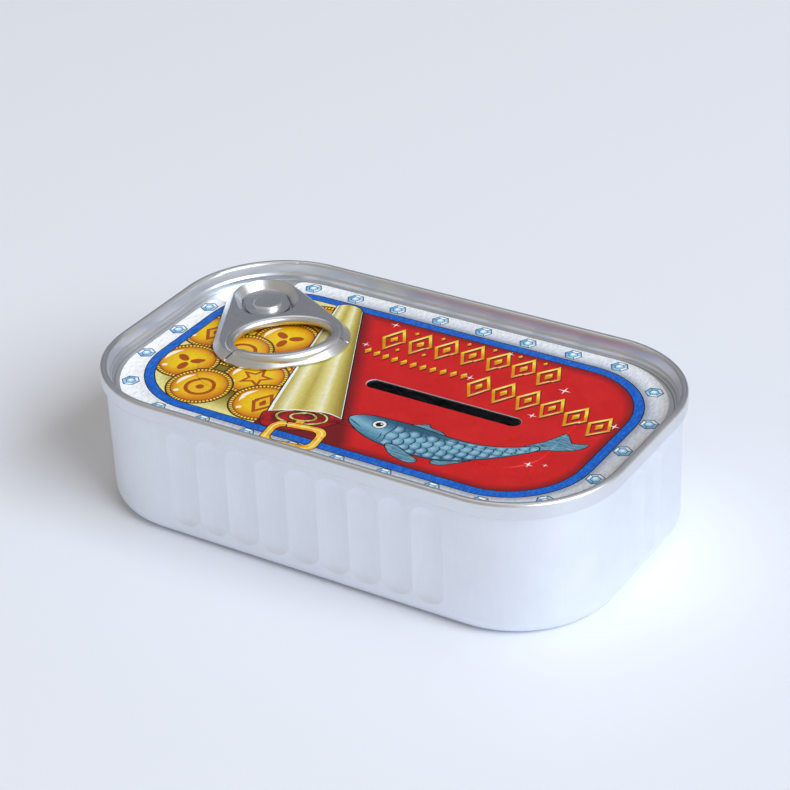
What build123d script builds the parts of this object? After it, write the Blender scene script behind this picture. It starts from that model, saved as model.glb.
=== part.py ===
"""Sardine-tin money box: a drawn rectangular can, closed by a double-seamed ring-pull lid
with a coin slot. Millimetres, +Z up, origin at the centre of the base on the resting plane,
X along the length. The pull tab lies diagonally over the corner at low X and high Y."""
from build123d import *
import math
import os

# ---------------------------------------------------------------- overall sizes
SEAM_LENGTH = 104.5          # outside of the double seam, along X
SEAM_WIDTH = 61.9            # outside of the double seam, along Y
SEAM_CORNER_RADIUS = 20.4    # outside of the double seam, in plan
TIN_HEIGHT = 27.3            # resting plane to the top of the seam
SHEET = 0.25                 # body and lid metal

# ---------------------------------------------------------------- double seam
SEAM_HEIGHT = 3.1            # top of the seam to the underside of its curl
SEAM_PLAY = 0.03             # gap left between neighbouring layers of the seam
SEAM_TOP_RADIUS = 0.45       # centre line of the lid metal
HOOK_FLAT = 0.04             # straight run across the top of each hook
BODY_HOOK_LENGTH = 1.9
COVER_HOOK_LENGTH = 2.0
COMPOUND_THICKNESS = 0.16    # sealing compound squeezed between lid and body hook

# ---------------------------------------------------------------- lid
PANEL_DEPTH = 3.5            # top of the seam down to the face of the panel
CHUCK_STEP_DEPTH = 2.15      # top of the seam down to the step in the chuck wall
CHUCK_SLOPE = 0.25           # inward lean of the upper chuck wall
CHUCK_STEP = 0.32            # inward width of the step
CHUCK_FOOT_SLOPE = 0.12      # inward lean of the lower chuck wall
CHUCK_STEP_RADIUS = 0.25
CHUCK_FOOT_RADIUS = 0.33
SCORE_LEDGE = 0.53           # chuck wall's foot to the score line
SCORE_GAP = 0.10             # torn width of the score line
PANEL_BEAD_END_GAP = 0.8     # rivet to the end of the raised field, along X
PANEL_BEAD_SIDE_REACH = 0.2  # raised field's side past the rivet, along Y
PANEL_BEAD_RADIUS = 8.0
PANEL_BEAD_HEIGHT = 0.15
SLOT_LENGTH = 31.6           # coin slot
SLOT_WIDTH = 2.9
SLOT_X = 11.3                # its centre
SLOT_Y = -0.4

# ---------------------------------------------------------------- printed label
LABEL_THICKNESS = 0.10
LABEL_SIDE_MARGIN = 0.15     # panel edge to label edge, along the long sides
LABEL_END_MARGIN = 1.0       # the same at the short ends
LABEL_CORNER_TRIM = 0.135    # label's corner radius short of the panel's
LABEL_SLOT_MARGIN = 0.10     # label set back from the slot's edge
LABEL_NOTCH_END_GAP = 0.5    # rivet to the bare corner under the tab's nose, along X
LABEL_NOTCH_SIDE_GAP = 1.6   # the same along Y
LABEL_NOTCH_RADIUS = 1.6

# ---------------------------------------------------------------- can body
BASE_RADIUS = 3.0            # outside of the bottom edge
BASE_RING_WIDTH = 4.2        # flat ring that the tin stands on
BASE_STEP_HEIGHT = 0.8       # base panel above the resting plane
BASE_STEP_RUN = 0.9
BASE_STEP_RADIUS = 0.45
BASE_LEDGE = 1.2
FLUTE_PITCH = 6.35
FLUTE_DEPTH = 0.42
FLUTE_WIDTH = 6.1
FLUTE_TOP_GAP = 4.5          # top of the seam to where the flutes fade out
FLUTE_BOTTOM = 3.4
FLUTE_END_RADIUS = 7.0
LONG_SIDE_FLUTES = 9
SHORT_SIDE_FLUTES = 2

# ---------------------------------------------------------------- pull tab, in its own frame:
# X from the rivet towards the finger hole, Y across, Z up from the tab's underside
RIVET_FROM_CORNER = 13.676   # rivet to the seam's outline, out through the corner
RIVET_BEARING = 137.41       # direction of the rivet from the corner arc's centre, degrees
TAB_ANGLE = -45.5            # direction of the tab's own X on the lid, degrees
TAB_CLEARANCE = 0.20         # underside of the tab above the label's raised field
TAB_WEB_TOP = 1.6            # face of the web
TAB_SKIRT_FLARE = 1.35       # outward spread of the skirt
TAB_SKIRT_EDGE = 0.3         # upright edge at the foot of the skirt
TAB_EDGE_RADIUS = 0.3
TAB_SHEET = 0.45
NOSE_RADIUS = 7.5
NOSE_X = -2.25
NOSE_SLIT_WIDTH = 0.5        # small cut through the rim of the nose
NOSE_SLIT_LENGTH = 1.0
EAR_MARGIN = 3.75            # finger hole's front edge to the outside of the skirt
EAR_X = 14.5
HOLE_X = 15.9                # finger hole, an oval
HOLE_ACROSS = 18.2
HOLE_ALONG = 13.0
EAR_SHIFT = 0.1              # ear's centre, past half the hole's extra width across
BEAD_RADIUS = 0.95           # curled edge round the finger hole
BAR_RADIUS = 1.15            # thicker curl along the front
CURL_HEIGHT = 1.2            # centre line of both curls above the tab's underside
BAR_START_X = 19.4
BAR_NOTCH = 0.35
WINDOW_RADIUS = 4.6          # opening round the tongue, at its foot
WINDOW_FLARE = 1.3
WINDOW_NOSE_X = -2.2
WINDOW_RING_X = 0.8
TONGUE_GAP = 0.35
TONGUE_RING_X = 0.3
HINGE_X = -9.0               # lifting axis, close to the tip of the nose
HINGE_Z = 0.6

# ---------------------------------------------------------------- rivet
RIVET_HEAD_RADIUS = 2.8
RIVET_HEAD_HEIGHT = 0.7
RIVET_HEAD_FILLET = 0.4
RIVET_SHANK_RADIUS = 1.6
RIVET_BUTTON_RADIUS = 3.3
RIVET_BUTTON_HEIGHT = 0.40

# ---------------------------------------------------------------- derived values
PANEL_TOP = TIN_HEIGHT - PANEL_DEPTH
HALF_SHEET = SHEET / 2
LAYER = SHEET + SEAM_PLAY
HOOK_RADIUS = LAYER - HOOK_FLAT / 2        # centre line of both hooks
LID_WALL = HALF_SHEET                      # inset of each layer's centre line
BODY_HOOK = LID_WALL + LAYER
COVER_HOOK = BODY_HOOK + LAYER
BODY_WALL = COVER_HOOK + LAYER
CHUCK_WALL = BODY_WALL + LAYER
SCORE_INSET = CHUCK_WALL + CHUCK_SLOPE + CHUCK_STEP + CHUCK_FOOT_SLOPE + SCORE_LEDGE
PANEL_INSET = SCORE_INSET + SCORE_GAP
LABEL_CORNER_RADIUS = SEAM_CORNER_RADIUS - PANEL_INSET - LABEL_CORNER_TRIM
PANEL_LENGTH = SEAM_LENGTH - 2 * PANEL_INSET
PANEL_WIDTH = SEAM_WIDTH - 2 * PANEL_INSET
BODY_HOOK_TOP = TIN_HEIGHT - SHEET - COMPOUND_THICKNESS - HALF_SHEET
BODY_FACE = BODY_WALL - HALF_SHEET         # inset of the can's outer face
FLUTE_TOP = TIN_HEIGHT - FLUTE_TOP_GAP
RIVET_REACH = SEAM_CORNER_RADIUS - RIVET_FROM_CORNER
RIVET_X = (SEAM_CORNER_RADIUS - SEAM_LENGTH / 2
           + RIVET_REACH * math.cos(math.radians(RIVET_BEARING)))
RIVET_Y = (SEAM_WIDTH / 2 - SEAM_CORNER_RADIUS
           + RIVET_REACH * math.sin(math.radians(RIVET_BEARING)))
PANEL_BEAD_LENGTH = 2 * (-RIVET_X - PANEL_BEAD_END_GAP)
PANEL_BEAD_WIDTH = 2 * (RIVET_Y + PANEL_BEAD_SIDE_REACH)
LABEL_NOTCH_X = RIVET_X - LABEL_NOTCH_END_GAP
LABEL_NOTCH_Y = RIVET_Y - LABEL_NOTCH_SIDE_GAP
EAR_RADIUS = HOLE_ALONG / 2 + EAR_MARGIN
EAR_Y = (HOLE_ACROSS - HOLE_ALONG) / 2 + EAR_SHIFT
TAB_BOTTOM = PANEL_TOP + PANEL_BEAD_HEIGHT + LABEL_THICKNESS + TAB_CLEARANCE


def plan(inset):
    """Rounded rectangle that lies a given distance inside the seam's outline."""
    return RectangleRounded(SEAM_LENGTH - 2 * inset, SEAM_WIDTH - 2 * inset,
                            SEAM_CORNER_RADIUS - inset)


def formed_sheet(points, radii, thickness):
    """Sheet metal of constant thickness, led round the tin.

    Each point is an inset from the seam's outline and a height; the radii round the
    corners between the points, on the metal's centre line."""
    line = FilletPolyline(*[(SEAM_LENGTH / 2 - inset, height) for inset, height in points],
                          radius=radii)
    section = Plane.XZ * trace(line, thickness)
    half_x = SEAM_LENGTH / 2 - SEAM_CORNER_RADIUS
    half_y = SEAM_WIDTH / 2 - SEAM_CORNER_RADIUS
    corner = Axis((half_x, half_y, 0), (0, 0, 1))
    side = extrude(section, amount=half_y, dir=(0, 1, 0))
    bend = revolve(section.moved(Location((0, half_y, 0))), corner, 90)
    end_section = section.moved(Location((0, half_y, 0))).faces()[0].rotate(corner, 90)
    end = extrude(end_section, amount=half_x, dir=(-1, 0, 0))
    quarter = side + bend + end
    half = quarter + mirror(quarter, Plane.YZ)
    return half + mirror(half, Plane.XZ)


def slot(length, width, depth, x, y, z):
    return extrude(Pos(x, y, z) * SlotOverall(length, width), depth)


# ================================================================ can body
def make_can_body():
    ring_end = BASE_RADIUS + BODY_FACE + BASE_RING_WIDTH
    step_end = ring_end + BASE_STEP_RUN
    ledge_end = step_end + BASE_LEDGE
    base = BASE_STEP_HEIGHT + HALF_SHEET
    wall = formed_sheet(
        [(BODY_HOOK, BODY_HOOK_TOP - BODY_HOOK_LENGTH), (BODY_HOOK, BODY_HOOK_TOP),
         (BODY_WALL, BODY_HOOK_TOP), (BODY_WALL, HALF_SHEET), (ring_end, HALF_SHEET),
         (step_end, base), (ledge_end, base)],
        [HOOK_RADIUS, HOOK_RADIUS, BASE_RADIUS - HALF_SHEET, BASE_STEP_RADIUS,
         BASE_STEP_RADIUS], SHEET)
    floor = extrude(Pos(0, 0, BASE_STEP_HEIGHT) * plan(ledge_end), SHEET)
    body = wall + floor
    backing = None
    dents = None
    bulge = flute_tool(flute_radius() + SHEET)
    dent = flute_tool(flute_radius())
    for place in flute_places():
        backing = place * bulge if backing is None else backing + place * bulge
        dents = place * dent if dents is None else dents + place * dent
    inside = extrude(Pos(0, 0, FLUTE_BOTTOM) * plan(BODY_WALL), FLUTE_TOP - FLUTE_BOTTOM)
    return body + (backing & inside) - dents


def flute_radius():
    """Radius of the round dent whose chord is the flute's width."""
    return FLUTE_WIDTH ** 2 / (8 * FLUTE_DEPTH) + FLUTE_DEPTH / 2


def flute_tool(radius):
    """Upright round-ended roller that presses one flute, from FLUTE_BOTTOM to FLUTE_TOP."""
    reach = FLUTE_END_RADIUS - FLUTE_DEPTH
    overrun = FLUTE_END_RADIUS - math.sqrt(FLUTE_END_RADIUS ** 2 - reach ** 2)
    roller = Cylinder(radius, FLUTE_TOP - FLUTE_BOTTOM + 2 * overrun,
                      align=(Align.CENTER, Align.CENTER, Align.MIN))
    roller = fillet(roller.edges().filter_by(GeomType.CIRCLE), FLUTE_END_RADIUS)
    return Pos(0, 0, FLUTE_BOTTOM - overrun) * roller


def flute_places():
    """Roller positions round the can, each standing off so that it dents to full depth."""
    off = flute_radius() - FLUTE_DEPTH - BODY_FACE
    places = []
    for row, count, reach in ((0, LONG_SIDE_FLUTES, SEAM_WIDTH / 2),
                              (90, SHORT_SIDE_FLUTES, SEAM_LENGTH / 2)):
        for turn in (row, row + 180):
            for number in range(count):
                along = (number - (count - 1) / 2) * FLUTE_PITCH
                places.append(Rot(0, 0, turn) * Pos(along, -reach - off, 0))
    return places


# ================================================================ lid
def make_lid_rim():
    top = TIN_HEIGHT - HALF_SHEET
    curl = TIN_HEIGHT - SEAM_HEIGHT + HALF_SHEET
    step = TIN_HEIGHT - CHUCK_STEP_DEPTH
    ledge = PANEL_TOP - HALF_SHEET
    upper = CHUCK_WALL + CHUCK_SLOPE
    lower = upper + CHUCK_STEP
    foot = lower + CHUCK_FOOT_SLOPE
    return formed_sheet(
        [(SCORE_INSET, ledge), (foot, ledge), (lower, step - CHUCK_STEP), (upper, step),
         (CHUCK_WALL, top), (LID_WALL, top), (LID_WALL, curl), (COVER_HOOK, curl),
         (COVER_HOOK, curl + COVER_HOOK_LENGTH)],
        [CHUCK_FOOT_RADIUS, CHUCK_STEP_RADIUS, CHUCK_STEP_RADIUS, SEAM_TOP_RADIUS,
         SEAM_TOP_RADIUS, HOOK_RADIUS, HOOK_RADIUS], SHEET)


def make_seam_compound():
    """Bead of sealing compound in the flat under the seam's top."""
    outer = LID_WALL + SEAM_TOP_RADIUS
    inner = BODY_WALL - HOOK_RADIUS
    bottom = BODY_HOOK_TOP + HALF_SHEET
    band = plan(outer) - plan(inner)
    return extrude(Pos(0, 0, bottom) * band, COMPOUND_THICKNESS)


def embossed(outline, bottom, thickness):
    """Flat sheet on the panel with the raised field pressed into it."""
    field = RectangleRounded(PANEL_BEAD_LENGTH, PANEL_BEAD_WIDTH, PANEL_BEAD_RADIUS)
    field = extrude(field, PANEL_BEAD_HEIGHT, taper=45)
    sheet = extrude(Pos(0, 0, bottom) * outline, thickness)
    return sheet + Pos(0, 0, bottom + thickness) * field - Pos(0, 0, bottom) * field


def make_tear_panel():
    bottom = PANEL_TOP - SHEET
    sheet = embossed(plan(PANEL_INSET), bottom, SHEET)
    depth = SHEET + 2 * PANEL_BEAD_HEIGHT
    return sheet - slot(SLOT_LENGTH, SLOT_WIDTH, depth, SLOT_X, SLOT_Y, bottom)


def make_label():
    """Printed film on the panel, bare round the tab's nose."""
    outline = RectangleRounded(PANEL_LENGTH - 2 * LABEL_END_MARGIN,
                               PANEL_WIDTH - 2 * LABEL_SIDE_MARGIN, LABEL_CORNER_RADIUS)
    reach = SEAM_LENGTH / 2
    outline -= Pos(LABEL_NOTCH_X - reach, LABEL_NOTCH_Y + reach) * Rectangle(2 * reach, 2 * reach)
    ends = outline.vertices().filter_by(lambda v: is_notch_end(v))
    film = embossed(fillet(ends, LABEL_NOTCH_RADIUS), PANEL_TOP, LABEL_THICKNESS)
    depth = LABEL_THICKNESS + 2 * PANEL_BEAD_HEIGHT
    film -= Pos(RIVET_X, RIVET_Y, PANEL_TOP) * extrude(Circle(WINDOW_RADIUS + WINDOW_FLARE), depth)
    return film - slot(SLOT_LENGTH + 2 * LABEL_SLOT_MARGIN, SLOT_WIDTH + 2 * LABEL_SLOT_MARGIN,
                       depth, SLOT_X, SLOT_Y, PANEL_TOP)


def is_notch_end(vertex):
    """True at the two corners where the notch meets the label's edge."""
    on_top = abs(vertex.X - LABEL_NOTCH_X) < SHEET and vertex.Y > LABEL_NOTCH_Y + 1
    on_side = abs(vertex.Y - LABEL_NOTCH_Y) < SHEET and vertex.X < LABEL_NOTCH_X - 1
    return on_top or on_side


# ================================================================ rivet and tab
def on_lid(height):
    return Pos(RIVET_X, RIVET_Y, height) * Rot(0, 0, TAB_ANGLE)


def stadium(radius, start, end):
    """Round-ended outline along the tab, between two centres."""
    middle = (start + end) / 2
    return Pos(middle, 0) * SlotCenterToCenter(abs(end - start), 2 * radius)


def make_rivet():
    tongue_bottom = PANEL_TOP + RIVET_BUTTON_HEIGHT
    tongue_top = tongue_bottom + TAB_SHEET
    button = extrude(Circle(RIVET_BUTTON_RADIUS), RIVET_BUTTON_HEIGHT)
    shank = extrude(Circle(RIVET_SHANK_RADIUS), tongue_top - PANEL_TOP)
    head = extrude(Pos(0, 0, tongue_top - PANEL_TOP) * Circle(RIVET_HEAD_RADIUS),
                   RIVET_HEAD_HEIGHT)
    head = fillet(head.edges().group_by(Axis.Z)[-1], RIVET_HEAD_FILLET)
    return on_lid(PANEL_TOP) * (button + shank + head)


def make_tab_tongue():
    outline = stadium(WINDOW_RADIUS - TONGUE_GAP, WINDOW_NOSE_X, TONGUE_RING_X)
    outline -= Circle(RIVET_SHANK_RADIUS)
    return on_lid(PANEL_TOP + RIVET_BUTTON_HEIGHT) * extrude(outline, TAB_SHEET)


def tab_outline(inset):
    circles = [Pos(NOSE_X, 0) * Circle(NOSE_RADIUS - inset),
               Pos(EAR_X, EAR_Y) * Circle(EAR_RADIUS - inset),
               Pos(EAR_X, -EAR_Y) * Circle(EAR_RADIUS - inset)]
    return make_hull([edge for circle in circles for edge in circle.edges()])


def hole_outline(grow):
    return Pos(HOLE_X, 0) * Ellipse(HOLE_ALONG / 2 + grow, HOLE_ACROSS / 2 + grow)


def curl(radius):
    """Rolled edge that follows the finger hole."""
    path = (Pos(0, 0, CURL_HEIGHT) * hole_outline(BEAD_RADIUS)).faces()[0].outer_wire()
    return sweep((path ^ 0) * Circle(radius), path)


def make_pull_ring():
    foot = extrude(tab_outline(0), TAB_SKIRT_EDGE)
    rise = TAB_WEB_TOP - TAB_SKIRT_EDGE
    lean = math.degrees(math.atan(TAB_SKIRT_FLARE / rise))
    skirt = Pos(0, 0, TAB_SKIRT_EDGE) * extrude(tab_outline(0), rise, taper=lean)
    shell = foot + skirt
    shell = fillet(shell.edges().group_by(Axis.Z)[-1], TAB_EDGE_RADIUS)
    window_lean = math.degrees(math.atan(WINDOW_FLARE / TAB_WEB_TOP))
    window = extrude(stadium(WINDOW_RADIUS, WINDOW_NOSE_X, WINDOW_RING_X), TAB_WEB_TOP,
                     taper=-window_lean)
    hollow = tab_outline(TAB_SKIRT_FLARE + TAB_SHEET / 2)
    hollow -= hole_outline(BEAD_RADIUS)
    hollow -= stadium(WINDOW_RADIUS + WINDOW_FLARE + TAB_SHEET / 2, WINDOW_NOSE_X, WINDOW_RING_X)
    shell -= extrude(hollow, TAB_WEB_TOP - TAB_SHEET)
    shell -= extrude(hole_outline(BEAD_RADIUS), TAB_WEB_TOP)
    shell += curl(BEAD_RADIUS)
    front = Pos(BAR_START_X, 0, 0) * Box(EAR_RADIUS, 4 * EAR_RADIUS, 4 * BAR_RADIUS,
                                         align=(Align.MIN, Align.CENTER, Align.CENTER))
    bar = curl(BAR_RADIUS) & front
    notch = Pos(BAR_START_X, 0, TAB_SKIRT_EDGE) * Box(
        BAR_NOTCH, 4 * EAR_RADIUS, 4 * BAR_RADIUS, align=(Align.MAX, Align.CENTER, Align.MIN))
    notch -= extrude(tab_outline(TAB_SKIRT_FLARE + 2 * BEAD_RADIUS), 4 * BAR_RADIUS)
    slit = Pos(NOSE_X - NOSE_RADIUS, 0) * Box(2 * NOSE_SLIT_LENGTH, NOSE_SLIT_WIDTH,
                                              2 * TAB_WEB_TOP + BAR_RADIUS)
    return on_lid(TAB_BOTTOM) * (shell - notch + bar - window - slit)


def joint_places():
    """Where the two joints turn, for the record: the tab near the tip of its nose, and the
    torn panel at the rim's inner edge at the far end of the tin."""
    lift = (on_lid(TAB_BOTTOM) * Pos(HINGE_X, 0, HINGE_Z)).position
    end = SEAM_LENGTH / 2 - CHUCK_WALL - HALF_SHEET
    return {"tab_lift": (lift.X, lift.Y, lift.Z), "panel_open": (end, 0, TIN_HEIGHT)}


NODES = {
    "can_body": make_can_body,
    "lid_rim": make_lid_rim,
    "seam_compound": make_seam_compound,
    "tear_panel": make_tear_panel,
    "label": make_label,
    "rivet": make_rivet,
    "tab_tongue": make_tab_tongue,
    "pull_ring": make_pull_ring,
}

os.makedirs("parts", exist_ok=True)
for name, make in NODES.items():
    solid = make()
    solid.label = name
    export_step(solid, f"parts/{name}.step")
    print(f"{name}: {len(solid.solids())} solid, {solid.volume:.2f} mm3, valid {solid.is_valid}")
for joint, place in joint_places().items():
    print(f"{joint} turns at {[round(value, 3) for value in place]}")
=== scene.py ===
"""Looks for the sardine-tin money box: metal finishes, the printed label, camera and light.

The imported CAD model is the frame. Lengths in this file are millimetres, turned into Blender's
metres by MM. Colours are sRGB as a designer would pick them, turned linear by rgb()."""
import math

import bmesh
import bpy
from mathutils import Matrix, Vector
from mathutils.geometry import delaunay_2d_cdt


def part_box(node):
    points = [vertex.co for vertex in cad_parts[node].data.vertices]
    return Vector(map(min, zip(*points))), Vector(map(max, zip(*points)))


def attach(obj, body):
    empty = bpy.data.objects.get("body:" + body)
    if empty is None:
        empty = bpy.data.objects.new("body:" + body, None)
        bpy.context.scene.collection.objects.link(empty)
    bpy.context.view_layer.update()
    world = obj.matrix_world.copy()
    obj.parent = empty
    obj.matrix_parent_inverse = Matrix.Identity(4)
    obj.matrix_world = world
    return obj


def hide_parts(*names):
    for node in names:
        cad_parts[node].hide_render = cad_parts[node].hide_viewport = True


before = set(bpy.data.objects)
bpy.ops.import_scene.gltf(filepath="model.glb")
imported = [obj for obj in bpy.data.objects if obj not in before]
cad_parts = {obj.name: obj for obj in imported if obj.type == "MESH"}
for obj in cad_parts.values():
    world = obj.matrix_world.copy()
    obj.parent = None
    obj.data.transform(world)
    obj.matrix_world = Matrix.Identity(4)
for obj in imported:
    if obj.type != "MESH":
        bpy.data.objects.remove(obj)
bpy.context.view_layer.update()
MM = 0.001

# ---------------------------------------------------------------- camera and light
CAMERA_AZIMUTH = 32.48
CAMERA_ELEVATION = 30.07
CAMERA_ROLL = -2.27
CAMERA_DISTANCE = 441.3 * MM
CAMERA_LENS = 110.0
AIM_HEIGHT = 15.0 * MM
AIM_RIGHT = 0.62 * MM
AIM_UP = 6.30 * MM
FLOOR_SIZE = 3.0
LIGHT_AIM = Vector((0, 0, 10 * MM))

# ---------------------------------------------------------------- raised field of the panel, half sizes
FIELD_X, FIELD_Y, FIELD_CORNER = 36.0, 15.3, 8.0


def make_camera():
    """Stands off from a point over the middle of the base, turned slightly about its own axis."""
    azimuth, elevation = math.radians(CAMERA_AZIMUTH), math.radians(CAMERA_ELEVATION)
    back = Vector((math.sin(azimuth) * math.cos(elevation),
                   -math.cos(azimuth) * math.cos(elevation), math.sin(elevation)))
    level = Vector((math.cos(azimuth), math.sin(azimuth), 0))
    turn = Matrix.Rotation(math.radians(CAMERA_ROLL), 3, back)
    right = turn @ level
    up = turn @ back.cross(level)
    place = Vector((0, 0, AIM_HEIGHT)) + right * AIM_RIGHT + up * AIM_UP + back * CAMERA_DISTANCE
    data = bpy.data.cameras.new("camera")
    data.lens = CAMERA_LENS
    data.clip_start = 0.01
    camera = bpy.data.objects.new("camera", data)
    bpy.context.collection.objects.link(camera)
    camera.matrix_world = Matrix((
        (right.x, up.x, back.x, place.x), (right.y, up.y, back.y, place.y),
        (right.z, up.z, back.z, place.z), (0, 0, 0, 1)))
    bpy.context.scene.camera = camera


def area_light(name, place, size, power, colour):
    """Rectangular light that faces the tin, placed in metres."""
    data = bpy.data.lights.new(name, "AREA")
    data.shape = "RECTANGLE"
    data.size, data.size_y = size
    data.energy = power
    data.color = colour
    light = bpy.data.objects.new(name, data)
    bpy.context.collection.objects.link(light)
    light.location = place
    light.rotation_mode = "QUATERNION"
    light.rotation_quaternion = (LIGHT_AIM - Vector(place)).to_track_quat("-Z", "Y")


# ---------------------------------------------------------------- node helpers
def rgb(red, green, blue):
    """A linear colour from 0-255 sRGB values."""
    def linear(value):
        value /= 255
        return value / 12.92 if value <= 0.04045 else ((value + 0.055) / 1.055) ** 2.4
    return (linear(red), linear(green), linear(blue), 1)


class Nodes:
    """Short names for adding and joining shader nodes."""

    def __init__(self, tree):
        self.tree = tree
        tree.nodes.clear()

    def add(self, kind, **settings):
        node = self.tree.nodes.new(kind)
        for name, value in settings.items():
            setattr(node, name, value)
        return node

    def join(self, source, target):
        self.tree.links.new(source, target)

    def feed(self, socket, value):
        """Joins a socket to another socket, or sets it to a plain value."""
        if isinstance(value, bpy.types.NodeSocket):
            self.join(value, socket)
        else:
            socket.default_value = value

    def math(self, operation, first, second=0.0, clamp=False):
        node = self.add("ShaderNodeMath", operation=operation, use_clamp=clamp)
        self.feed(node.inputs[0], first)
        self.feed(node.inputs[1], second)
        return node.outputs[0]

    def mix(self, factor, first, second):
        node = self.add("ShaderNodeMix", data_type="RGBA")
        self.feed(node.inputs[0], factor)
        self.feed(node.inputs[6], first)
        self.feed(node.inputs[7], second)
        return node.outputs[2]

    def smooth(self, value, low, high, out_low=0.0, out_high=1.0):
        """Value brought from low..high to out_low..out_high, smoothly and clamped."""
        node = self.add("ShaderNodeMapRange", interpolation_type="SMOOTHSTEP")
        for socket, given in zip(node.inputs, (value, low, high, out_low, out_high)):
            self.feed(socket, given)
        return node.outputs[0]

    def place(self):
        """Place on the object, in millimetres."""
        coordinate = self.add("ShaderNodeTexCoord").outputs["Object"]
        scale = self.add("ShaderNodeVectorMath", operation="SCALE")
        self.join(coordinate, scale.inputs[0])
        scale.inputs["Scale"].default_value = 1 / MM
        return scale.outputs[0]

    def stretched(self, vector, scale, turn=(0, 0, 0)):
        node = self.add("ShaderNodeMapping")
        self.join(vector, node.inputs["Vector"])
        node.inputs["Rotation"].default_value = [math.radians(angle) for angle in turn]
        node.inputs["Scale"].default_value = scale
        return node.outputs[0]

    def noise(self, vector, scale, detail=2.0, roughness=0.5):
        node = self.add("ShaderNodeTexNoise")
        self.join(vector, node.inputs["Vector"])
        node.inputs["Scale"].default_value = scale
        node.inputs["Detail"].default_value = detail
        node.inputs["Roughness"].default_value = roughness
        return node.outputs["Fac"]


# ---------------------------------------------------------------- metal
def aluminium(name, tone, roughness, grain, grain_strength, stretch, turn=(0, 0, 0)):
    """Satin aluminium with drawn lines along one direction and faint mottling."""
    material = bpy.data.materials.new(name)
    material.use_nodes = True
    n = Nodes(material.node_tree)
    place = n.place()
    lines = n.noise(n.stretched(place, stretch, turn), grain, 3.0, 0.6)
    mottle = n.noise(place, 0.18, 3.0, 0.55)
    shader = n.add("ShaderNodeBsdfPrincipled")
    dark = tuple(channel * 0.98 for channel in tone[:3]) + (1,)
    n.feed(shader.inputs["Base Color"], n.mix(n.smooth(mottle, 0.3, 0.7), dark, tone))
    shader.inputs["Metallic"].default_value = 1.0
    rough = n.smooth(lines, 0.25, 0.75, roughness - 0.05, roughness + 0.06)
    n.feed(shader.inputs["Roughness"], rough)
    bump = n.add("ShaderNodeBump")
    bump.inputs["Strength"].default_value = grain_strength
    bump.inputs["Distance"].default_value = 0.02 * MM
    n.feed(bump.inputs["Height"], lines)
    n.join(bump.outputs[0], shader.inputs["Normal"])
    output = n.add("ShaderNodeOutputMaterial")
    n.join(shader.outputs[0], output.inputs[0])
    return material


def rubber():
    """Dull grey-beige sealing compound."""
    material = bpy.data.materials.new("sealing_compound")
    material.use_nodes = True
    n = Nodes(material.node_tree)
    shader = n.add("ShaderNodeBsdfPrincipled")
    patches = n.noise(n.place(), 1.2, 2.0, 0.5)
    n.feed(shader.inputs["Base Color"], n.mix(patches, rgb(172, 168, 152), rgb(192, 188, 172)))
    shader.inputs["Roughness"].default_value = 0.8
    output = n.add("ShaderNodeOutputMaterial")
    n.join(shader.outputs[0], output.inputs[0])
    return material


def wear(node, material):
    """Puts one material on a CAD node."""
    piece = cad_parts[node]
    piece.data.materials.clear()
    piece.data.materials.append(material)


# ================================================================ label artwork: outlines
# Plain lists of points in millimetres on the panel, X along the tin.
def spin(point, degrees, centre=(0, 0)):
    """A point turned about the centre of its own frame and moved to a centre."""
    c, s = math.cos(math.radians(degrees)), math.sin(math.radians(degrees))
    return (centre[0] + point[0] * c - point[1] * s, centre[1] + point[0] * s + point[1] * c)


def arc(centre, radius, start, end, count):
    """Points from one angle to another; radius is a number, or a pair for an ellipse."""
    wide, high = radius if isinstance(radius, tuple) else (radius, radius)
    angles = [math.radians(start + (end - start) * i / count) for i in range(count + 1)]
    return [(centre[0] + wide * math.cos(a), centre[1] + high * math.sin(a)) for a in angles]


def ellipse(centre, radius, count=24, turn=0.0):
    loop = arc((0, 0), radius, 0, 360, count)[:-1]
    return [spin(point, turn, centre) for point in loop]


def rounded(half_x, half_y, radius, centre=(0, 0), turn=0.0, count=10):
    loop = []
    for quarter, (sx, sy) in enumerate(((1, 1), (-1, 1), (-1, -1), (1, -1))):
        corner = (sx * (half_x - radius), sy * (half_y - radius))
        loop += arc(corner, radius, 90 * quarter, 90 * quarter + 90, count)
    return [spin(point, turn, centre) for point in loop]


def curve(points, steps=5, closed=True):
    """Smooth line through a few points."""
    count = len(points)
    line = []
    for i in range(count if closed else count - 1):
        if closed:
            a, b, c, d = (points[(i + k) % count] for k in (-1, 0, 1, 2))
        else:
            a, b, c, d = (points[min(max(i + k, 0), count - 1)] for k in (-1, 0, 1, 2))
        for step in range(steps):
            t = step / steps
            line.append(tuple(
                0.5 * (2 * b[k] + (c[k] - a[k]) * t + (2 * a[k] - 5 * b[k] + 4 * c[k] - d[k]) * t ** 2
                       + (3 * b[k] - a[k] - 3 * c[k] + d[k]) * t ** 3) for k in (0, 1)))
    return line if closed else line + [tuple(points[-1])]


def normals(points, closed):
    """Unit vectors to the right of each point's direction of travel."""
    found = []
    last = len(points) - 1
    for i, point in enumerate(points):
        before = points[i - 1] if closed or i else point
        after = points[(i + 1) % len(points)] if closed or i < last else point
        dx, dy = after[0] - before[0], after[1] - before[1]
        length = math.hypot(dx, dy) or 1
        found.append((dy / length, -dx / length))
    return found


def area(loop):
    return sum(a[0] * b[1] - a[1] * b[0] for a, b in zip(loop, loop[1:] + loop[:1])) / 2


def grown(loop, distance):
    """A smooth loop moved outwards all round."""
    side = distance if area(loop) > 0 else -distance
    return [(x + nx * side, y + ny * side) for (x, y), (nx, ny) in zip(loop, normals(loop, True))]


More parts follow.
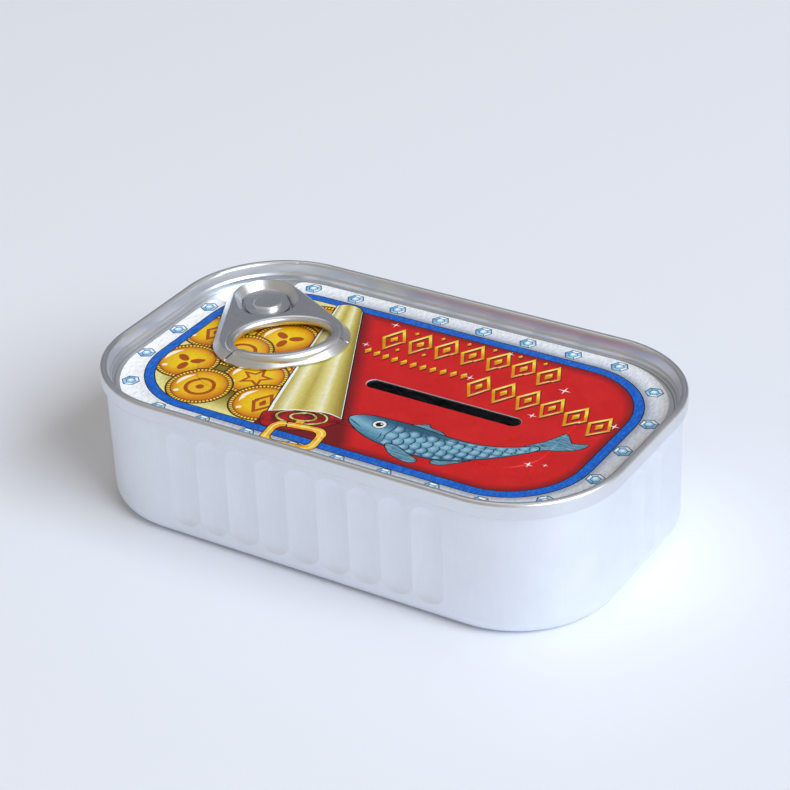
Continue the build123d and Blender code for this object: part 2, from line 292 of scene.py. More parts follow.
def stroke(points, width, taper=1.0):
    """Outline of a pen stroke along an open line; taper 0 gives it pointed ends."""
    last = len(points) - 1
    sides = []
    for i, ((x, y), (nx, ny)) in enumerate(zip(points, normals(points, False))):
        fullness = taper + (1 - taper) * math.sin(math.pi * i / last)
        half = max(width * fullness, 0.03) / 2
        sides.append(((x + nx * half, y + ny * half), (x - nx * half, y - ny * half)))
    return [right for right, _ in sides] + [left for _, left in reversed(sides)]


def star(centre, outer, inner, points, turn=90.0):
    return [spin((outer if i % 2 == 0 else inner, 0), turn + 180 * i / points, centre)
            for i in range(2 * points)]


# ================================================================ label artwork: layers
class Artwork:
    """Flat shapes laid over each other, the later ones on top."""

    def __init__(self):
        self.loops = []
        self.layers = []
        self.inks = []

    def region(self, loop):
        """Adds a closed line, and gives its number for use as a limit."""
        self.loops.append(loop if area(loop) > 0 else loop[::-1])
        return len(self.loops) - 1

    def lay(self, loop, ink, inside=(), outside=(), centre=(0, 0), reach=1.0, turn=0.0):
        """One inked shape, kept inside and outside of other regions. Centre, reach and turn
        place the shape's own frame, which its ink may shade by."""
        if ink not in self.inks:
            self.inks.append(ink)
        self.layers.append(({self.region(loop), *inside}, set(outside), self.inks.index(ink),
                            (centre, reach, turn)))

    def outlined(self, loop, ink, width=0.2, line="ink_line", **limits):
        self.lay(grown(loop, width), line, limits.get("inside", ()), limits.get("outside", ()))
        self.lay(loop, ink, **limits)

    def top_layer(self, regions):
        for inside, outside, ink, place in reversed(self.layers):
            if inside <= regions and not outside & regions:
                return ink, place
        return None


BAND_X, BAND_Y, BAND_CORNER, BAND_WIDTH = 44.3, 23.05, 14.8, 1.7
BAND_LINE = 0.2
ROLL_LEFT = ((-25.3, 22.2), (-15.0, -17.3))
ROLL_RIGHT = ((-19.6, 22.0), (-1.6, -13.8))


def border_gem(art, centre, turn):
    """Faceted hexagonal stone, with two of its corners along the border's direction."""
    def hexagon(radius, offset=(0, 0)):
        place = (centre[0] + offset[0], centre[1] + offset[1])
        return [spin((radius, 0), turn + 60 * i, place) for i in range(6)]
    outer, table = hexagon(1.58), hexagon(0.98)
    art.lay(hexagon(1.80), "gem_dark")
    for i in range(6):
        facet = [outer[i], outer[(i + 1) % 6], table[(i + 1) % 6], table[i]]
        art.lay(facet, ("gem_light", "gem_mid", "gem_white")[(i * 2 + i // 3) % 3])
        if i % 2:
            art.lay(stroke([outer[i], table[i]], 0.14), "gem_dark")
    art.lay(hexagon(1.00), "gem_dark")
    art.lay(hexagon(0.84), "gem_light")
    art.lay(hexagon(0.46, (-0.14, 0.16)), "gem_white")


def coin(art, centre, mark, within):
    radius = 6.35
    art.lay(ellipse(centre, radius, 56), "coin", within, centre=centre, reach=radius)

    def put(loop, ink):
        art.lay([(centre[0] + x, centre[1] + y) for x, y in loop], ink, within)
    if mark == "star":
        put(star((0.2, -0.1), 3.5, 1.6, 5), "coin_mark")
        put(star((0.2, -0.1), 2.2, 1.0, 5), "coin_relief")
    elif mark == "ring":
        put(ellipse((0.2, -0.1), 3.0, 28), "coin_mark")
        put(ellipse((0.2, -0.1), 2.25, 24), "coin_relief")
        put(ellipse((0.2, -0.1), 0.8, 14), "coin_mark")
    elif mark == "lozenge":
        put(star((0.2, -0.1), 3.6, 2.3, 2), "coin_mark")
        put(star((0.2, -0.1), 2.4, 1.5, 2), "coin_relief")
        put(star((0.2, -0.1), 1.1, 0.7, 2), "coin_mark")
    else:
        for i in range(3):
            put([spin(p, 30 + 120 * i, (0.2, -0.1)) for p in ellipse((1.8, 0), (1.45, 0.85), 18)],
                "coin_mark")
    put(stroke(arc((0, 0), 4.35, 132, 198, 12), 0.9, 0.0), "coin_shine")
    put(ellipse(spin((4.3, 0), 226), (0.55, 0.42), 12, 40), "coin_shine")


def coins(art, within):
    marks = ("ring", "star", "petals", "lozenge")
    places = [(-41.5, 14.0), (-25.3, 14.9), (-34.6, 15.2), (-18.6, 5.6), (-33.6, 6.6),
              (-18.0, -2.6), (-26.6, 6.2), (-40.2, 2.6), (-31.6, -1.6), (-23.6, -8.6),
              (-38.4, -9.2), (-17.4, -15.6), (-31.0, -15.9)]
    for i, centre in enumerate(places):
        coin(art, centre, marks[i % 4], within)


def roll(art):
    """The rolled-back lid: a cone of sheet with its red inside showing at the near end."""
    near = curve([ROLL_LEFT[1], (-12.4, -15.7), (-8.8, -14.35), (-5.0, -13.3), ROLL_RIGHT[1]],
                 5, False)
    far = curve([ROLL_RIGHT[0], (-20.7, 23.1), (-22.6, 23.5), (-24.2, 23.2), ROLL_LEFT[0]],
                5, False)
    mouth = curve([ROLL_LEFT[1], (-15.0, -19.4), (-13.4, -21.6), (-9.6, -21.9), (-5.2, -19.6),
                   (-2.4, -16.6), (-1.3, -14.4), ROLL_RIGHT[1], (-5.0, -13.0), (-11.0, -14.9)], 5)
    art.outlined(mouth, "roll_inside", 0.22)
    art.outlined(ellipse((-8.3, -16.5), (4.9, 2.5), 32, 16), "roll_turn", 0.20)
    art.outlined(ellipse((-8.3, -16.4), (4.3, 1.9), 32, 16), "roll_inside", 0.16)
    art.outlined(ellipse((-8.1, -16.3), (2.6, 1.45), 28, 16), "roll_turn", 0.18)
    art.outlined(ellipse((-8.1, -16.25), (2.0, 0.9), 24, 16), "roll_inside", 0.14)
    body = near + far
    art.outlined(body, "roll_cream", 0.24)
    for (top, foot), side, width in ((ROLL_LEFT, 1, 0.35), (ROLL_RIGHT, -1, 0.3)):
        strip = [(top[0], top[1]), (foot[0], foot[1]), (foot[0] + side * width * 1.4, foot[1] + 0.5),
                 (top[0] + side * width * 0.6, top[1] + 0.2)]
        art.lay(strip, "roll_edge")
    art.lay(stroke(near, 0.34, 0.4), "roll_edge")


def key(art):
    """Plain bent-wire winding key, its stem in the middle of the roll."""
    centre, tilt = (-6.2, -22.5), 8.0
    stem = [spin((-1.5, 4.9), 0, centre), spin((-1.1, 2.6), 0, centre)]
    art.lay(stroke(stem, 1.9), "ink_line")
    art.lay(stroke(stem, 1.5), "key_gold")
    hole = art.region(rounded(3.95, 2.5, 1.5, centre, tilt))
    line = art.region(rounded(3.75, 2.3, 1.3, centre, tilt))
    art.lay(rounded(5.65, 4.2, 2.6, centre, tilt), "ink_line", (), (line,))
    art.lay(rounded(5.45, 4.0, 2.4, centre, tilt), "key_gold", (), (hole,))
    art.lay(stroke([spin((-2.9, 4.0), tilt, centre), spin((-2.5, 2.4), tilt, centre)], 0.3),
            "ink_line")
    gap = art.region(rounded(4.62, 3.17, 1.62, centre, tilt))
    art.lay(rounded(4.9, 3.45, 1.9, centre, tilt), "key_shine", (), (gap,))


def fish(art):
    """A plain sardine lying on its belly, tail up to the right."""
    glow = curve([(-1.4, -12.6), (4, -9.2), (13, -8.2), (23, -9.2), (30, -6.4), (35, 0.4),
                  (41.4, -0.6), (38.6, -6.0), (31, -11.2), (25, -16.2), (16, -21.4), (6, -18.4)], 6)
    art.lay(glow, "red_shadow")
    fins = [
        [(9.6, -10.3), (11.4, -9.3), (13.2, -8.3), (14.0, -9.1), (16.4, -9.5), (17.4, -10.6)],
        [(20.2, -17.2), (19.6, -18.9), (21.6, -18.6), (23.6, -16.8), (24.6, -15.4)],
        [(31.4, -7.0), (33.6, -4.2), (35.0, -1.6), (36.0, 0.3), (37.4, -1.2), (38.2, -2.0),
         (39.6, -1.5), (40.9, -1.1), (40.2, -3.0), (38.0, -4.6), (35.4, -6.0), (33.2, -7.8)]]
    for fin in fins:
        art.outlined(curve(fin, 4), "fish_fin", 0.2)
    for fan in range(4):
        art.lay(stroke([(33.8, -5.6), (36.0 + 1.2 * fan, -1.4 - 0.5 * fan)], 0.14, 0.3), "fish_line")
        art.lay(stroke([(11.0 + 1.4 * fan, -10.2), (12.4 + 1.2 * fan, -9.2)], 0.12, 0.3), "fish_line")
    body = curve([(-0.6, -12.5), (0.4, -11.2), (2.4, -10.35), (6.0, -9.95), (11.0, -9.85),
                  (17.0, -10.3), (22.0, -10.35), (26.4, -9.6), (30.2, -7.9), (33.2, -5.9),
                  (34.0, -7.0), (31.2, -10.2), (27.4, -13.6), (23.4, -16.2), (18.6, -17.9),
                  (12.4, -18.0), (6.6, -17.1), (2.8, -15.6), (0.4, -14.1)], 5)
    flank = art.region([(8.2, -9.0), (8.7, -12.0), (8.3, -15.5), (8.9, -19.0), (36.0, -19.0),
                        (36.0, -4.0), (8.2, -4.0)])
    art.outlined(body, "fish_body", 0.24)
    inner = art.region(grown(body, -0.3))
    for column in range(14, -1, -1):
        x = 9.0 + 1.75 * column
        middle = -12.4 - 0.35 * x + 0.0155 * x * x
        size = 1.5 * (1 - 0.026 * column)
        for row in range(-3, 4):
            y = middle - 0.2 + (row + (0.5 if column % 2 else 0)) * 1.5 * size
            if y < middle + 2.6:
                tilt = math.degrees(math.atan(-0.35 + 0.031 * x))
                art.lay(ellipse((x, y), (size * 1.1, size * 0.9), 20, tilt), "fish_scale",
                        (flank, inner), centre=(x, y), reach=size, turn=tilt)
    back = stroke(curve([(8.6, -11.0), (14.0, -11.1), (20.0, -11.35), (26.0, -10.7),
                         (31.0, -8.6)], 5, False), 0.16, 0.2)
    art.lay(back, "fish_line")
    gill = curve([(8.0, -10.4), (8.5, -12.3), (8.1, -14.6), (8.7, -16.9)], 5, False)
    art.lay(stroke(gill, 0.26, 0.3), "fish_line")
    cheek = curve([(7.1, -14.4), (7.4, -15.6), (7.2, -16.5)], 4, False)
    art.lay(stroke(cheek, 0.2, 0.2), "fish_line")
    art.lay(stroke(curve([(-0.5, -12.9), (1.2, -13.7), (2.8, -14.5)], 5, False), 0.24, 0.2),
            "fish_line")
    belly = curve([(9.6, -16.9), (12.0, -17.0), (14.6, -18.2), (17.2, -19.4), (16.0, -20.6),
                   (12.8, -20.0), (10.6, -18.6)], 4)
    art.outlined(belly, "fish_fin", 0.2)
    for ray in range(3):
        art.lay(stroke([(11.0 + 0.3 * ray, -17.4 - 0.5 * ray), (15.8 - 0.4 * ray, -19.4 - 0.35 * ray)],
                       0.13, 0.3), "fish_line")
    eye = (5.4, -12.3)
    for radius, ink in ((1.42, "fish_line"), (1.22, "eye_white"), (0.72, "ink_line")):
        art.lay(ellipse(eye, radius, 22), ink)
    art.lay(ellipse((eye[0] + 0.26, eye[1] + 0.3), 0.22, 10), "eye_white")


def lozenge(art, centre, high, wide, tilt=0.0, line=0.0):
    """Gold diamond with a dark edge and a shadow; with a line width it is an open frame."""
    def corners(grow, shift=(0, 0)):
        place = (centre[0] + shift[0], centre[1] + shift[1])
        return [spin(p, tilt, place) for p in ((wide + grow, 0), (0, high + grow * high / wide),
                                               (-wide - grow, 0), (0, -high - grow * high / wide))]
    for ink, grow, shift in (("gold_shadow", 0.16, (0.20, -0.24)), ("gold_line", 0.10, (0, 0)),
                             ("gold", 0.0, (0, 0))):
        hole = (art.region(corners(-line - grow, shift)),) if line else ()
        art.lay(corners(grow, shift), ink, (), hole, centre=centre, reach=high, turn=tilt)
    if line:
        right, top, left, foot = corners(-line * 0.45)
        for start, end in ((left, top), (foot, right)):
            art.lay(stroke([start, ((start[0] + end[0]) / 2, (start[1] + end[1]) / 2), end],
                           0.17, 0.0), "gold_shine")


def ornaments(art):
    """Rows of diamonds where a title would be."""
    for i in range(7):
        x, y = -8.6 + 5.35 * i, 16.0 + 1.3 * math.sin(math.pi * (i - 0.6) / 7)
        lozenge(art, (x, y), 4.5 - 0.06 * i, 2.5, 2 - 1.2 * i, 0.66)
        lozenge(art, (x, y), 1.35, 0.75, 2 - 1.2 * i)
    for i in range(6):
        x, y = 14.2 + 5.1 * i, 7.6 - 0.12 * (i - 0.6) ** 2
        lozenge(art, (x, y), 4.3 - 0.07 * i, 2.4, 1 - 2.4 * i, 0.64)
        lozenge(art, (x, y), 1.25, 0.7, 1 - 2.4 * i)
    for i in range(11):
        lozenge(art, (-10.6 + 2.05 * i, 9.8 - 1.0 * math.sin(math.pi * (i + 0.5) / 11)), 1.15, 0.66)
    for i in range(6):
        y = 16.0 + 1.3 * math.sin(math.pi * (i - 0.1) / 7)
        for side in (-3.6, 3.6):
            if i < 2 or side > 0:
                lozenge(art, (-5.9 + 5.35 * i, y + side), 0.6, 0.42)
    for centre, size in (((-11.3, 20.7), 1.0), ((13.4, 20.9), 0.9), ((28.6, 13.4), 1.3),
                         ((-12.2, 11.4), 0.9), ((11.2, 9.6), 1.0), ((42.0, 6.6), 1.1),
                         ((27.6, 3.0), 1.0), ((34.8, -11.6), 0.9), ((37.4, -10.4), 0.6)):
        art.lay(star(centre, size, size * 0.16, 4), "sparkle")


def draw_label():
    art = Artwork()
    # Silver border, printed, with a painted highlight towards its left end.
    art.lay(rounded(60, 40, 5), "border_silver_with_painted_highlight")
    spots = (-33.4, -23.7, -14.2, -4.7, 4.7, 14.2, 23.7, 33.2)
    for x in spots:
        border_gem(art, (x, 26.1), 0)
        border_gem(art, (x, -25.7), 0)
    for y in (10.2, 0.0, -10.2):
        border_gem(art, (47.0, y), 90)
        border_gem(art, (-47.1, y), 90)
    for x, y, turn in ((42.9, 20.6, -45), (42.8, -20.3, 45), (-43.4, -20.1, -45)):
        border_gem(art, (x, y), turn)
    half = BAND_WIDTH / 2
    for grow, ink in ((half + BAND_LINE, "ink_line"), (half, "band_blue"), (-half, "ink_line"),
                      (-half - BAND_LINE, "field_red")):
        art.lay(rounded(BAND_X + grow, BAND_Y + grow, BAND_CORNER + grow, count=16), ink)
    field = art.region(rounded(BAND_X - half - BAND_LINE, BAND_Y - half - BAND_LINE,
                               BAND_CORNER - half - BAND_LINE, count=16))
    left = art.region([ROLL_LEFT[0], (ROLL_LEFT[0][0], 30), (-60, 30), (-60, -30), (-15.0, -30),
                       ROLL_LEFT[1]])
    art.lay(rounded(60, 40, 5), "coin_ground", (field, left))
    coins(art, (field, left))
    roll(art)
    fish(art)
    ornaments(art)
    key(art)
    return art


# ================================================================ label: one thin closed sheet
def upper_outlines(piece):
    """Closed outlines of a CAD node's upper face in millimetres, the largest first."""
    mesh = bmesh.new()
    mesh.from_mesh(piece.data)
    bmesh.ops.remove_doubles(mesh, verts=mesh.verts, dist=1e-7)
    mesh.verts.index_update()
    mesh.normal_update()
    after = {}
    for edge in mesh.edges:
        upward = [face for face in edge.link_faces if face.normal.z > 0.5]
        if len(upward) == 1:
            loop = next(item for item in edge.link_loops if item.face == upward[0])
            after[loop.vert.index] = loop.link_loop_next.vert.index
    mesh.verts.ensure_lookup_table()
    places = {index: (mesh.verts[index].co.x / MM, mesh.verts[index].co.y / MM) for index in after}
    outlines = []
    while after:
        start = index = next(iter(after))
        outline = []
        while index in after:
            outline.append(places[index])
            index = after.pop(index)
        outlines.append(outline)
    mesh.free()
    return sorted(outlines, key=lambda outline: -abs(area(outline)))


def field_rise(x, y, outline):
    """Height of the raised field at a place: 0 outside it, and a 45 degree edge."""
    half_x, half_y, radius, height = outline
    dx, dy = abs(x) - half_x + radius, abs(y) - half_y + radius
    distance = math.hypot(max(dx, 0), max(dy, 0)) + min(max(dx, dy), 0) - radius
    return min(max(-distance, 0), height)


def make_label(inks):
    art = draw_label()
    outline, opening = upper_outlines(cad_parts["label"])[:2]
    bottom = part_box("label")[0].z / MM
    rise = (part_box("tear_panel")[1].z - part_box("label")[0].z) / MM
    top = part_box("label")[1].z / MM - rise
    bead = (FIELD_X, FIELD_Y, FIELD_CORNER, rise)
    sheet, cut = art.region(outline), art.region(opening)
    art.region(rounded(*bead[:3]))
    art.region(rounded(bead[0] - rise, bead[1] - rise, bead[2] - rise))
    points, faces = [], []
    for loop in art.loops:
        faces.append(list(range(len(points), len(points) + len(loop))))
        points += [Vector(point) for point in loop]
    flat, _, triangles, _, _, owners = delaunay_2d_cdt(points, [], faces, 0, 1e-4, True)
    count = len(flat)
    corners, kept = [], []
    for x, y in flat:
        corners.append((x * MM, y * MM, (top + field_rise(x, y, bead)) * MM))
    corners += [(x, y, z - (top - bottom) * MM) for x, y, z in corners]
    rim = {}
    for triangle, owner in zip(triangles, owners):
        regions = set(owner)
        found = art.top_layer(regions)
        if sheet not in regions or cut in regions or not found:
            continue
        kept.append((tuple(triangle), *found))
        for a, b in zip(triangle, (*triangle[1:], triangle[0])):
            if (b, a) in rim:
                del rim[b, a]
            else:
                rim[a, b] = True
    film = len(art.inks)
    polygons = list(kept)
    polygons += [(tuple(v + count for v in reversed(triangle)), film, None)
                 for triangle, _, _ in kept]
    polygons += [((b, a, a + count, b + count), film, None) for a, b in rim]
    data = bpy.data.meshes.new("label_print")
    data.from_pydata(corners, [], [polygon[0] for polygon in polygons])
    frame_map = data.uv_layers.new(name="motif")
    bake_map = data.uv_layers.new(name="OFBake")
    low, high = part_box("label")
    for face, (_, ink, place) in zip(data.polygons, polygons):
        face.material_index = ink
        upper = ink != film
        for loop in face.loop_indices:
            x, y, _ = data.vertices[data.loops[loop].vertex_index].co
            along, across = (x - low.x) / (high.x - low.x), (y - low.y) / (high.y - low.y)
            bake_map.data[loop].uv = (0.004 + 0.992 * along,
                                      0.10 + 0.895 * across if upper else 0.005 + 0.08 * across)
            if place:
                (cx, cy), reach, turn = place
                u, v = spin((x / MM - cx, y / MM - cy), -turn)
                frame_map.data[loop].uv = (u / reach, v / reach)
    for name in (*art.inks, "film"):
        data.materials.append(inks[name]())
    mesh = bmesh.new()
    mesh.from_mesh(data)
    loose = [vertex for vertex in mesh.verts if not vertex.link_faces]
    bmesh.ops.delete(mesh, geom=loose, context="VERTS")
    mesh.to_mesh(data)
    mesh.free()
    label = bpy.data.objects.new("label_print", data)
    bpy.context.collection.objects.link(label)
    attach(label, "panel")
    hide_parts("label")


# ================================================================ label: inks
def rounded_distance(n, place, half_x, half_y, radius):
    """Distance outside a rounded rectangle round the origin, negative inside, in mm."""
    split = n.add("ShaderNodeSeparateXYZ")
    n.join(place, split.inputs[0])
    dx = n.math("SUBTRACT", n.math("ABSOLUTE", split.outputs[0]), half_x - radius)
    dy = n.math("SUBTRACT", n.math("ABSOLUTE", split.outputs[1]), half_y - radius)
    ox, oy = n.math("MAXIMUM", dx, 0.0), n.math("MAXIMUM", dy, 0.0)
    corner = n.math("SQRT", n.math("ADD", n.math("MULTIPLY", ox, ox), n.math("MULTIPLY", oy, oy)))
    inner = n.math("MINIMUM", n.math("MAXIMUM", dx, dy), 0.0)
    return n.math("SUBTRACT", n.math("ADD", corner, inner), radius)


def motif(n):
    """The two coordinates of a motif's own frame."""
    source = n.add("ShaderNodeUVMap", uv_map="motif")
    split = n.add("ShaderNodeSeparateXYZ")
    n.join(source.outputs[0], split.inputs[0])
    return split.outputs[0], split.outputs[1]


def ramp(n, value, stops):
    """Colour along a value, from (place, sRGB colour) stops."""
    node = n.add("ShaderNodeValToRGB")
    n.join(value, node.inputs[0])
    elements = node.color_ramp.elements
    elements[0].position, elements[0].color = stops[0][0], rgb(*stops[0][1])
    elements[1].position, elements[1].color = stops[-1][0], rgb(*stops[-1][1])
    for place, colour in stops[1:-1]:
        elements.new(place).color = rgb(*colour)
    return node.outputs[0]


def printed(name, paint, grain=0.10, roughness=0.44):
    """An ink on the label: its colour, fine slanting brush grain, and a faintly uneven gloss."""
    def build():
        material = bpy.data.materials.new(name)
        material.use_nodes = True
        n = Nodes(material.node_tree)
        place = n.place()
        brush = n.noise(n.stretched(place, (3.2, 0.7, 1.0), (0, 0, 28)), 1.0, 4.0, 0.65)
        fleck = n.noise(place, 5.5, 2.0, 0.6)
        colour = paint(n, place)
        strength = n.add("ShaderNodeVectorMath", operation="SCALE")
        n.feed(strength.inputs[0], tuple(colour[:3]) if isinstance(colour, tuple) else colour)
        n.feed(strength.inputs["Scale"], n.math("ADD", n.smooth(brush, 0.35, 0.65, 1 - 1.6 * grain,
                                                                1 + grain),
                                                n.smooth(fleck, 0.55, 0.8, 0.0, 1.5 * grain)))
        shader = n.add("ShaderNodeBsdfPrincipled")
        n.join(strength.outputs[0], shader.inputs["Base Color"])
        n.feed(shader.inputs["Roughness"], n.smooth(brush, 0.3, 0.7, roughness - 0.05,
                                                    roughness + 0.07))
        shader.inputs["Specular IOR Level"].default_value = 0.30
        bump = n.add("ShaderNodeBump")
        bump.inputs["Strength"].default_value = 0.25
        bump.inputs["Distance"].default_value = 0.02 * MM
        n.join(brush, bump.inputs["Height"])
        n.join(bump.outputs[0], shader.inputs["Normal"])
        output = n.add("ShaderNodeOutputMaterial")
        n.join(shader.outputs[0], output.inputs[0])
        return material
    return build


def even(*colour):
    return lambda n, place: rgb(*colour)


def silver_print_with_painted_highlight(n, place):
    # Silver print of the border, printed darker close to the blue band.
    distance = rounded_distance(n, place, BAND_X, BAND_Y, BAND_CORNER)
    split = n.add("ShaderNodeSeparateXYZ")
    n.join(place, split.inputs[0])
    sheet = ramp(n, n.smooth(distance, 0.9, 4.2), ((0, (160, 165, 178)), (0.35, (206, 211, 221)),
                                                    (1, (232, 235, 241))))
    # Painted highlight: the left part of the silver border is mixed towards white, standing in for the
    # room's light reflected by the silver film.
    return n.mix(n.smooth(split.outputs[0], -46.0, -10.0, 0.9, 0.0), sheet, rgb(254, 254, 255))


def band_paint(n, place):
    patches = n.noise(n.stretched(place, (2.0, 0.8, 1.0), (0, 0, 30)), 1.4, 4.0, 0.7)
    return ramp(n, n.smooth(patches, 0.25, 0.75), ((0, (4, 74, 178)), (0.5, (12, 96, 198)),
                                                   (1, (36, 124, 220))))


def line_side(n, place, start, end):
    """Distance to the right of the line from start to end, in mm."""
    dx, dy = end[0] - start[0], end[1] - start[1]
    length = math.hypot(dx, dy)
    dot = n.add("ShaderNodeVectorMath", operation="DOT_PRODUCT")
    n.join(place, dot.inputs[0])
    dot.inputs[1].default_value = (dy / length, -dx / length, 0)
    return n.math("SUBTRACT", dot.outputs["Value"], (start[0] * dy - start[1] * dx) / length)


def red_paint(n, place):
    inner = BAND_WIDTH / 2 + BAND_LINE
    distance = rounded_distance(n, place, BAND_X - inner, BAND_Y - inner, BAND_CORNER - inner)
    edge = n.smooth(distance, -2.2, 0.0, 0.0, 1.0)
    beside = n.smooth(line_side(n, place, *reversed(ROLL_RIGHT)), 0.0, 3.4, 1.0, 0.0)
    shade = n.math("MULTIPLY", n.math("MAXIMUM", n.math("MULTIPLY", edge, 0.8), beside), 0.85)
    clouds = n.noise(place, 0.16, 3.0, 0.6)
    bright = ramp(n, n.smooth(clouds, 0.3, 0.7), ((0, (202, 20, 22)), (1, (212, 28, 26))))
    return n.mix(shade, bright, rgb(92, 10, 18))


def cream_paint(n, place):
    """Soft bands of light and shade that follow the cone."""
    split = n.add("ShaderNodeSeparateXYZ")
    n.join(place, split.inputs[0])
    (lx, ly), (fx, fy) = ROLL_LEFT
    (rx, ry), (gx, gy) = ROLL_RIGHT
    left = n.math("ADD", n.math("MULTIPLY", split.outputs[1], (fx - lx) / (fy - ly)),
                  lx - ly * (fx - lx) / (fy - ly))
    right = n.math("ADD", n.math("MULTIPLY", split.outputs[1], (gx - rx) / (gy - ry)),
                   rx - ry * (gx - rx) / (gy - ry))
    across = n.math("DIVIDE", n.math("SUBTRACT", split.outputs[0], left),
                    n.math("SUBTRACT", right, left))
    return ramp(n, across, ((0, (160, 142, 60)), (0.10, (206, 192, 112)), (0.20, (240, 236, 196)),
                            (0.28, (222, 210, 124)), (0.42, (188, 170, 74)),
                            (0.56, (224, 212, 130)), (0.68, (242, 238, 200)),
                            (0.76, (212, 198, 108)), (0.90, (170, 150, 62)), (1, (136, 118, 48))))


def coin_paint(n, place):
    """Milled rim and domed face of a gold coin, by distance and angle from its centre."""
    u, v = motif(n)
    square = n.math("ADD", n.math("MULTIPLY", u, u), n.math("MULTIPLY", v, v))
    radius = n.math("SQRT", square)
    low_right = n.math("SUBTRACT", u, v)
    face = ramp(n, radius, ((0, (244, 212, 22)), (0.50, (238, 194, 16)), (0.72, (226, 156, 12)),
                            (0.82, (200, 108, 10)), (1, (190, 96, 8))))
    face = n.mix(n.smooth(low_right, 0.2, 1.3, 0.0, 0.75), face, rgb(206, 100, 10))
    teeth = n.math("SINE", n.math("MULTIPLY", n.math("ARCTAN2", v, u), 52.0))
    rim = n.mix(n.smooth(teeth, -0.35, 0.05), rgb(128, 66, 8), rgb(248, 216, 66))
    colour = n.mix(n.smooth(radius, 0.815, 0.83), face, rgb(110, 56, 8))
    colour = n.mix(n.smooth(radius, 0.845, 0.855), colour, rim)
    colour = n.mix(n.smooth(radius, 0.93, 0.94), colour, rgb(150, 88, 12))
    return n.mix(n.smooth(radius, 0.955, 0.965), colour, rgb(34, 18, 8))


def ground_paint(n, place):
    inner = BAND_WIDTH / 2
    distance = rounded_distance(n, place, BAND_X - inner, BAND_Y - inner, BAND_CORNER - inner)
    return ramp(n, n.smooth(distance, -7.0, 0.0), ((0, (126, 110, 34)), (0.6, (188, 174, 84)),
                                                   (1, (236, 228, 150))))


def gold_paint(n, place):
    u, v = motif(n)
    return ramp(n, n.smooth(n.math("ADD", v, n.math("MULTIPLY", u, -0.5)), -0.2, 1.0),
                ((0, (226, 140, 20)), (0.4, (250, 198, 34)), (0.7, (252, 226, 90)),
                 (1, (246, 186, 28))))


def fish_middle(n, place):
    """Distance above the line along the middle of the fish, in mm."""
    split = n.add("ShaderNodeSeparateXYZ")
    n.join(place, split.inputs[0])
    x, y = split.outputs[0], split.outputs[1]
    bend = n.math("MULTIPLY", n.math("MULTIPLY", x, x), 0.0155)
    middle = n.math("ADD", n.math("MULTIPLY", x, -0.35), -12.4)
    return n.math("SUBTRACT", y, n.math("ADD", middle, bend))


def body_paint(n, place):
    return ramp(n, n.smooth(fish_middle(n, place), -4.4, 4.0),
                ((0, (48, 92, 120)), (0.25, (92, 146, 172)), (0.55, (132, 182, 204)),
                 (0.8, (84, 136, 164)), (1, (46, 88, 116))))


def scale_paint(n, place):
    u, v = motif(n)
    radius = n.math("SQRT", n.math("ADD", n.math("MULTIPLY", u, u), n.math("MULTIPLY", v, v)))
    tone = ramp(n, n.smooth(fish_middle(n, place), -4.4, 4.0),
                ((0, (62, 108, 136)), (0.5, (116, 168, 192)), (1, (56, 100, 128))))
    light = n.mix(n.smooth(radius, 0.1, 0.85), rgb(148, 194, 214), tone)
    return n.mix(n.smooth(radius, 0.80, 0.92), light, rgb(36, 70, 94))


def fin_paint(n, place):
    rays = n.noise(n.stretched(place, (0.5, 3.0, 1.0), (0, 0, -35)), 1.0, 3.0, 0.6)
    return ramp(n, n.smooth(rays, 0.3, 0.7), ((0, (58, 104, 128)), (1, (124, 174, 196))))


def inside_paint(n, place):
    depth = n.noise(n.stretched(place, (0.5, 0.5, 0.5)), 1.0, 2.0, 0.5)
    return ramp(n, n.smooth(depth, 0.3, 0.7), ((0, (108, 10, 18)), (1, (188, 20, 28))))


def turn_paint(n, place):
    folds = n.noise(n.stretched(place, (1.4, 0.3, 1.0)), 1.0, 2.0, 0.5)
    return ramp(n, n.smooth(folds, 0.3, 0.7), ((0, (168, 146, 56)), (1, (232, 216, 126))))


def wire_paint(n, place):
    patches = n.noise(place, 0.9, 2.0, 0.5)
    return ramp(n, n.smooth(patches, 0.3, 0.7), ((0, (238, 156, 22)), (1, (255, 208, 66))))


INKS = {
    "border_silver_with_painted_highlight": (silver_print_with_painted_highlight, 0.10), "gem_dark": (even(34, 66, 96), 0.08),
    "gem_mid": (even(120, 182, 224), 0.08), "gem_light": (even(164, 210, 238), 0.06),
    "gem_white": (even(240, 249, 254), 0.04),
    "band_blue": (band_paint, 0.07), "ink_line": (even(22, 15, 14), 0.03),
    "field_red": (red_paint, 0.055), "red_shadow": (red_paint, 0.055),
    "coin_ground": (ground_paint, 0.08), "coin": (coin_paint, 0.05),
    "coin_mark": (even(172, 74, 12), 0.06), "coin_relief": (even(236, 186, 30), 0.05),
    "coin_shine": (even(255, 248, 218), 0.03), "roll_cream": (cream_paint, 0.05),
    "roll_edge": (even(246, 247, 240), 0.03), "roll_inside": (inside_paint, 0.06),
    "roll_turn": (turn_paint, 0.06), "key_gold": (wire_paint, 0.05),
    "key_shine": (even(255, 232, 150), 0.03), "gold_shadow": (even(96, 10, 16), 0.04),
    "gold_line": (even(150, 84, 14), 0.04), "gold": (gold_paint, 0.04),
    "gold_shine": (even(255, 246, 212), 0.03), "sparkle": (even(252, 248, 246), 0.02),
    "fish_body": (body_paint, 0.08), "fish_scale": (scale_paint, 0.06),
    "fish_fin": (fin_paint, 0.08), "fish_line": (even(26, 50, 68), 0.04),
    "eye_white": (even(240, 240, 236), 0.02), "film": (even(214, 217, 222), 0.04),
}
INKS = {name: printed("print_" + name, paint, grain) for name, (paint, grain) in INKS.items()}


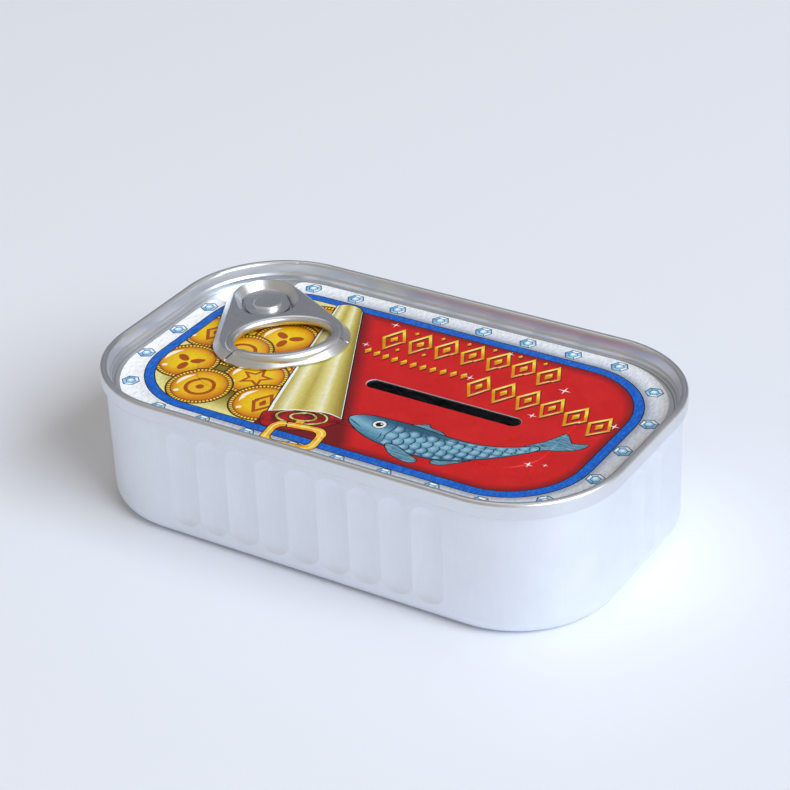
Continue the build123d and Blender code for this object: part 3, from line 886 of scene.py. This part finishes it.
# ================================================================ scene
BODY_TONE, BODY_ROUGHNESS = rgb(236, 240, 247), 0.56
LID_TONE, LID_ROUGHNESS = rgb(226, 229, 234), 0.36
TAB_ROUGHNESS = 0.32
TAB_TURN = 45.5              # turns the tab's drawn lines to its own direction, degrees
ROOM_LIGHT = (0.42, 0.38, 0.33, 1)
ROOM_DIM = (0.16, 0.17, 0.19, 1)
DIM_TOWARD = (-0.46, 0.72, 0.52)


def make_floor():
    bpy.ops.mesh.primitive_plane_add(size=FLOOR_SIZE)
    floor = bpy.context.object
    floor.name = "floor"
    material = bpy.data.materials.new("paper_floor")
    material.use_nodes = True
    n = Nodes(material.node_tree)
    shader = n.add("ShaderNodeBsdfPrincipled")
    shader.inputs["Base Color"].default_value = rgb(236, 239, 246)
    shader.inputs["Roughness"].default_value = 0.55
    output = n.add("ShaderNodeOutputMaterial")
    n.join(shader.outputs[0], output.inputs[0])
    floor.data.materials.append(material)


def make_world():
    world = bpy.data.worlds.new("studio")
    bpy.context.scene.world = world
    world.use_nodes = True
    n = Nodes(world.node_tree)
    background = n.add("ShaderNodeBackground")
    toward = n.add("ShaderNodeVectorMath", operation="DOT_PRODUCT")
    n.join(n.add("ShaderNodeTexCoord").outputs["Generated"], toward.inputs[0])
    toward.inputs[1].default_value = Vector(DIM_TOWARD).normalized()
    dim = n.smooth(toward.outputs["Value"], 0.45, 0.92)
    n.join(n.mix(dim, ROOM_LIGHT, ROOM_DIM), background.inputs["Color"])
    output = n.add("ShaderNodeOutputWorld")
    n.join(background.outputs[0], output.inputs[0])


bpy.context.scene.view_settings.view_transform = "Standard"
make_camera()
wear("can_body", aluminium("body_aluminium", BODY_TONE, BODY_ROUGHNESS, 3.0, 0.05, (1, 1, 0.05)))
wear("lid_rim", aluminium("rim_aluminium", LID_TONE, LID_ROUGHNESS, 5.0, 0.03, (1, 1, 1)))
wear("tear_panel", aluminium("panel_aluminium", LID_TONE, LID_ROUGHNESS, 3.0, 0.05, (0.1, 1, 1)))
wear("rivet", aluminium("rivet_aluminium", LID_TONE, TAB_ROUGHNESS, 3.0, 0.05, (1, 1, 1)))
wear("tab_tongue", aluminium("tongue_aluminium", LID_TONE, TAB_ROUGHNESS, 3.0, 0.05, (1, 1, 1)))
wear("pull_ring", aluminium("tab_aluminium", LID_TONE, TAB_ROUGHNESS, 5.0, 0.06, (0.1, 1, 1),
                            (0, 0, TAB_TURN)))
wear("seam_compound", rubber())
make_label(INKS)
make_floor()
make_world()
area_light("window", place=(2.6, -0.4, 2.1), size=(2.4, 2.0), power=126, colour=(0.79, 0.87, 0.98))
area_light("overhead", place=(-0.6, 1.0, 2.4), size=(1.8, 1.8), power=9, colour=(1.0, 0.97, 0.94))
